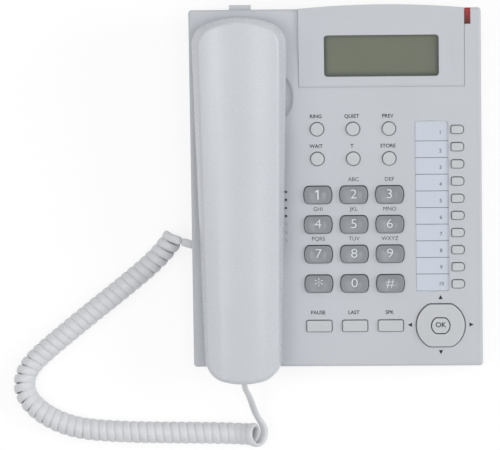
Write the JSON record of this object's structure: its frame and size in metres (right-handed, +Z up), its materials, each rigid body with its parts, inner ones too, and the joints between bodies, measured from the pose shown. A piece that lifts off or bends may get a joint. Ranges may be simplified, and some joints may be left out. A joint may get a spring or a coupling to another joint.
{
  "type": "corded landline phone",
  "caption": "Desk phone with a lift-off handset on a curly cord, tilting display, dial and memory keys, and a line socket.",
  "frame": {"origin": "on the table, below the middle of the phone without its cord", "axes": "+X to the right of the keypad, +Y towards the display, +Z up"},
  "size_m": [0.2834, 0.2656, 0.0759],
  "materials": {
    "housing": "fine matt",
    "handset_shell": "satin",
    "light_keys": "satin",
    "dial_keys": "satin",
    "clear": "clear",
    "lcd": "satin",
    "card": "paper",
    "lamp": "gloss",
    "rubber": "matt",
    "board": "solder mask",
    "speaker": "matt",
    "steel": "plated",
    "jack": "matt",
    "plug": "clear",
    "cord": "satin"
  },
  "bodies": {
    "base": {"base_top_cover": "housing", "base_bottom_cover": "housing", "rubber_feet": "rubber", "housing_screws": "steel", "label_card": "card", "label_cover": "clear", "ring_lamp_lens": "lamp", "main_board": "board", "keypad_mat": "rubber", "speaker": "speaker", "line_jack": "jack", "base_cord_jack": "jack", "cord_plug_base": "plug", "cord_tail_base": "cord", "cord_coil": "cord", "cord_tail_handset": "cord"},
    "display": {"display_bezel": "housing", "display_back": "housing", "lcd_window": "clear", "lcd_module": "lcd"},
    "handset": {"handset_upper_shell": "handset_shell", "handset_lower_shell": "handset_shell", "earpiece": "speaker", "handset_microphone": "speaker", "cord_plug_handset": "plug"},
    "hook": {"hook_plunger": "housing"},
    "nav_seat": {"nav_ring_seat": "rubber"},
    "nav_ring": {"nav_ring": "light_keys"},
    "set_key": {"set_key": "light_keys"},
    "dial_key_1": {"dial_key_1": "dial_keys"},
    "dial_key_2": {"dial_key_2": "dial_keys"},
    "dial_key_3": {"dial_key_3": "dial_keys"},
    "dial_key_4": {"dial_key_4": "dial_keys"},
    "dial_key_5": {"dial_key_5": "dial_keys"},
    "dial_key_6": {"dial_key_6": "dial_keys"},
    "dial_key_7": {"dial_key_7": "dial_keys"},
    "dial_key_8": {"dial_key_8": "dial_keys"},
    "dial_key_9": {"dial_key_9": "dial_keys"},
    "dial_key_star": {"dial_key_star": "dial_keys"},
    "dial_key_0": {"dial_key_0": "dial_keys"},
    "dial_key_hash": {"dial_key_hash": "dial_keys"},
    "round_key_1": {"round_key_1": "light_keys"},
    "round_key_2": {"round_key_2": "light_keys"},
    "round_key_3": {"round_key_3": "light_keys"},
    "round_key_4": {"round_key_4": "light_keys"},
    "round_key_5": {"round_key_5": "light_keys"},
    "round_key_6": {"round_key_6": "light_keys"},
    "bar_key_left": {"bar_key_left": "light_keys"},
    "bar_key_middle": {"bar_key_middle": "light_keys"},
    "bar_key_right": {"bar_key_right": "light_keys"},
    "memory_key_1": {"memory_key_1": "light_keys"},
    "memory_key_2": {"memory_key_2": "light_keys"},
    "memory_key_3": {"memory_key_3": "light_keys"},
    "memory_key_4": {"memory_key_4": "light_keys"},
    "memory_key_5": {"memory_key_5": "light_keys"},
    "memory_key_6": {"memory_key_6": "light_keys"},
    "memory_key_7": {"memory_key_7": "light_keys"},
    "memory_key_8": {"memory_key_8": "light_keys"},
    "memory_key_9": {"memory_key_9": "light_keys"},
    "memory_key_10": {"memory_key_10": "light_keys"}
  },
  "joints": [
    {"name": "handset_lift", "type": "slide", "parent": "base", "child": "handset", "axis": [0, -0.1392, 0.9903], "range_m": [0, 0.08], "deforming": ["cord_tail_handset"]},
    {"name": "hook_press", "type": "slide", "parent": "base", "child": "hook", "axis": [0, -0.1392, 0.9903], "range_m": [0, 0.004]},
    {"name": "display_tilt", "type": "hinge", "parent": "base", "child": "display", "pos_m": [0.0279, 0.06606, 0.04356], "axis": [1, 0, 0], "range_deg": [0, 40]},
    {"name": "nav_up_down", "type": "hinge", "parent": "base", "child": "nav_seat", "pos_m": [0.062, -0.07873, 0.02257], "axis": [1, 0, 0], "range_deg": [-3, 3], "stiffness_Nm_per_rad": 0.2, "deforming": ["keypad_mat"]},
    {"name": "nav_left_right", "type": "hinge", "parent": "nav_seat", "child": "nav_ring", "pos_m": [0.062, -0.07873, 0.02257], "axis": [0, 0.9903, 0.1392], "range_deg": [-3, 3], "stiffness_Nm_per_rad": 0.2},
    {"name": "dial_key_1_press", "type": "slide", "parent": "base", "child": "dial_key_1", "axis": [0, 0.1392, -0.9903], "range_m": [0, 0.0012], "stiffness_N_per_m": 300, "springref_m": -0.001, "deforming": ["keypad_mat"]},
    {"name": "dial_key_2_press", "type": "slide", "parent": "base", "child": "dial_key_2", "axis": [0, 0.1392, -0.9903], "range_m": [0, 0.0012], "stiffness_N_per_m": 300, "springref_m": -0.001, "deforming": ["keypad_mat"]},
    {"name": "dial_key_3_press", "type": "slide", "parent": "base", "child": "dial_key_3", "axis": [0, 0.1392, -0.9903], "range_m": [0, 0.0012], "stiffness_N_per_m": 300, "springref_m": -0.001, "deforming": ["keypad_mat"]},
    {"name": "dial_key_4_press", "type": "slide", "parent": "base", "child": "dial_key_4", "axis": [0, 0.1392, -0.9903], "range_m": [0, 0.0012], "stiffness_N_per_m": 300, "springref_m": -0.001, "deforming": ["keypad_mat"]},
    {"name": "dial_key_5_press", "type": "slide", "parent": "base", "child": "dial_key_5", "axis": [0, 0.1392, -0.9903], "range_m": [0, 0.0012], "stiffness_N_per_m": 300, "springref_m": -0.001, "deforming": ["keypad_mat"]},
    {"name": "dial_key_6_press", "type": "slide", "parent": "base", "child": "dial_key_6", "axis": [0, 0.1392, -0.9903], "range_m": [0, 0.0012], "stiffness_N_per_m": 300, "springref_m": -0.001, "deforming": ["keypad_mat"]},
    {"name": "dial_key_7_press", "type": "slide", "parent": "base", "child": "dial_key_7", "axis": [0, 0.1392, -0.9903], "range_m": [0, 0.0012], "stiffness_N_per_m": 300, "springref_m": -0.001, "deforming": ["keypad_mat"]},
    {"name": "dial_key_8_press", "type": "slide", "parent": "base", "child": "dial_key_8", "axis": [0, 0.1392, -0.9903], "range_m": [0, 0.0012], "stiffness_N_per_m": 300, "springref_m": -0.001, "deforming": ["keypad_mat"]},
    {"name": "dial_key_9_press", "type": "slide", "parent": "base", "child": "dial_key_9", "axis": [0, 0.1392, -0.9903], "range_m": [0, 0.0012], "stiffness_N_per_m": 300, "springref_m": -0.001, "deforming": ["keypad_mat"]},
    {"name": "dial_key_star_press", "type": "slide", "parent": "base", "child": "dial_key_star", "axis": [0, 0.1392, -0.9903], "range_m": [0, 0.0012], "stiffness_N_per_m": 300, "springref_m": -0.001, "deforming": ["keypad_mat"]},
    {"name": "dial_key_0_press", "type": "slide", "parent": "base", "child": "dial_key_0", "axis": [0, 0.1392, -0.9903], "range_m": [0, 0.0012], "stiffness_N_per_m": 300, "springref_m": -0.001, "deforming": ["keypad_mat"]},
    {"name": "dial_key_hash_press", "type": "slide", "parent": "base", "child": "dial_key_hash", "axis": [0, 0.1392, -0.9903], "range_m": [0, 0.0012], "stiffness_N_per_m": 300, "springref_m": -0.001, "deforming": ["keypad_mat"]},
    {"name": "round_key_1_press", "type": "slide", "parent": "base", "child": "round_key_1", "axis": [0, 0.1392, -0.9903], "range_m": [0, 0.0012], "stiffness_N_per_m": 300, "springref_m": -0.001, "deforming": ["keypad_mat"]},
    {"name": "round_key_2_press", "type": "slide", "parent": "base", "child": "round_key_2", "axis": [0, 0.1392, -0.9903], "range_m": [0, 0.0012], "stiffness_N_per_m": 300, "springref_m": -0.001, "deforming": ["keypad_mat"]},
    {"name": "round_key_3_press", "type": "slide", "parent": "base", "child": "round_key_3", "axis": [0, 0.1392, -0.9903], "range_m": [0, 0.0012], "stiffness_N_per_m": 300, "springref_m": -0.001, "deforming": ["keypad_mat"]},
    {"name": "round_key_4_press", "type": "slide", "parent": "base", "child": "round_key_4", "axis": [0, 0.1392, -0.9903], "range_m": [0, 0.0012], "stiffness_N_per_m": 300, "springref_m": -0.001, "deforming": ["keypad_mat"]},
    {"name": "round_key_5_press", "type": "slide", "parent": "base", "child": "round_key_5", "axis": [0, 0.1392, -0.9903], "range_m": [0, 0.0012], "stiffness_N_per_m": 300, "springref_m": -0.001, "deforming": ["keypad_mat"]},
    {"name": "round_key_6_press", "type": "slide", "parent": "base", "child": "round_key_6", "axis": [0, 0.1392, -0.9903], "range_m": [0, 0.0012], "stiffness_N_per_m": 300, "springref_m": -0.001, "deforming": ["keypad_mat"]},
    {"name": "bar_key_left_press", "type": "slide", "parent": "base", "child": "bar_key_left", "axis": [0, 0.1392, -0.9903], "range_m": [0, 0.0012], "stiffness_N_per_m": 300, "springref_m": -0.001, "deforming": ["keypad_mat"]},
    {"name": "bar_key_middle_press", "type": "slide", "parent": "base", "child": "bar_key_middle", "axis": [0, 0.1392, -0.9903], "range_m": [0, 0.0012], "stiffness_N_per_m": 300, "springref_m": -0.001, "deforming": ["keypad_mat"]},
    {"name": "bar_key_right_press", "type": "slide", "parent": "base", "child": "bar_key_right", "axis": [0, 0.1392, -0.9903], "range_m": [0, 0.0012], "stiffness_N_per_m": 300, "springref_m": -0.001, "deforming": ["keypad_mat"]},
    {"name": "memory_key_1_press", "type": "slide", "parent": "base", "child": "memory_key_1", "axis": [0, 0.1392, -0.9903], "range_m": [0, 0.0012], "stiffness_N_per_m": 300, "springref_m": -0.001, "deforming": ["keypad_mat"]},
    {"name": "memory_key_2_press", "type": "slide", "parent": "base", "child": "memory_key_2", "axis": [0, 0.1392, -0.9903], "range_m": [0, 0.0012], "stiffness_N_per_m": 300, "springref_m": -0.001, "deforming": ["keypad_mat"]},
    {"name": "memory_key_3_press", "type": "slide", "parent": "base", "child": "memory_key_3", "axis": [0, 0.1392, -0.9903], "range_m": [0, 0.0012], "stiffness_N_per_m": 300, "springref_m": -0.001, "deforming": ["keypad_mat"]},
    {"name": "memory_key_4_press", "type": "slide", "parent": "base", "child": "memory_key_4", "axis": [0, 0.1392, -0.9903], "range_m": [0, 0.0012], "stiffness_N_per_m": 300, "springref_m": -0.001, "deforming": ["keypad_mat"]},
    {"name": "memory_key_5_press", "type": "slide", "parent": "base", "child": "memory_key_5", "axis": [0, 0.1392, -0.9903], "range_m": [0, 0.0012], "stiffness_N_per_m": 300, "springref_m": -0.001, "deforming": ["keypad_mat"]},
    {"name": "memory_key_6_press", "type": "slide", "parent": "base", "child": "memory_key_6", "axis": [0, 0.1392, -0.9903], "range_m": [0, 0.0012], "stiffness_N_per_m": 300, "springref_m": -0.001, "deforming": ["keypad_mat"]},
    {"name": "memory_key_7_press", "type": "slide", "parent": "base", "child": "memory_key_7", "axis": [0, 0.1392, -0.9903], "range_m": [0, 0.0012], "stiffness_N_per_m": 300, "springref_m": -0.001, "deforming": ["keypad_mat"]},
    {"name": "memory_key_8_press", "type": "slide", "parent": "base", "child": "memory_key_8", "axis": [0, 0.1392, -0.9903], "range_m": [0, 0.0012], "stiffness_N_per_m": 300, "springref_m": -0.001, "deforming": ["keypad_mat"]},
    {"name": "memory_key_9_press", "type": "slide", "parent": "base", "child": "memory_key_9", "axis": [0, 0.1392, -0.9903], "range_m": [0, 0.0012], "stiffness_N_per_m": 300, "springref_m": -0.001, "deforming": ["keypad_mat"]},
    {"name": "memory_key_10_press", "type": "slide", "parent": "base", "child": "memory_key_10", "axis": [0, 0.1392, -0.9903], "range_m": [0, 0.0012], "stiffness_N_per_m": 300, "springref_m": -0.001, "deforming": ["keypad_mat"]},
    {"name": "set_key_press", "type": "slide", "parent": "base", "child": "set_key", "axis": [0, 0.1392, -0.9903], "range_m": [0, 0.0012], "stiffness_N_per_m": 300, "springref_m": -0.001, "deforming": ["keypad_mat"]}
  ],
  "couplings": [
    {"joint": "hook_press", "follows": "handset_lift", "ratio": 0.05}
  ]
}
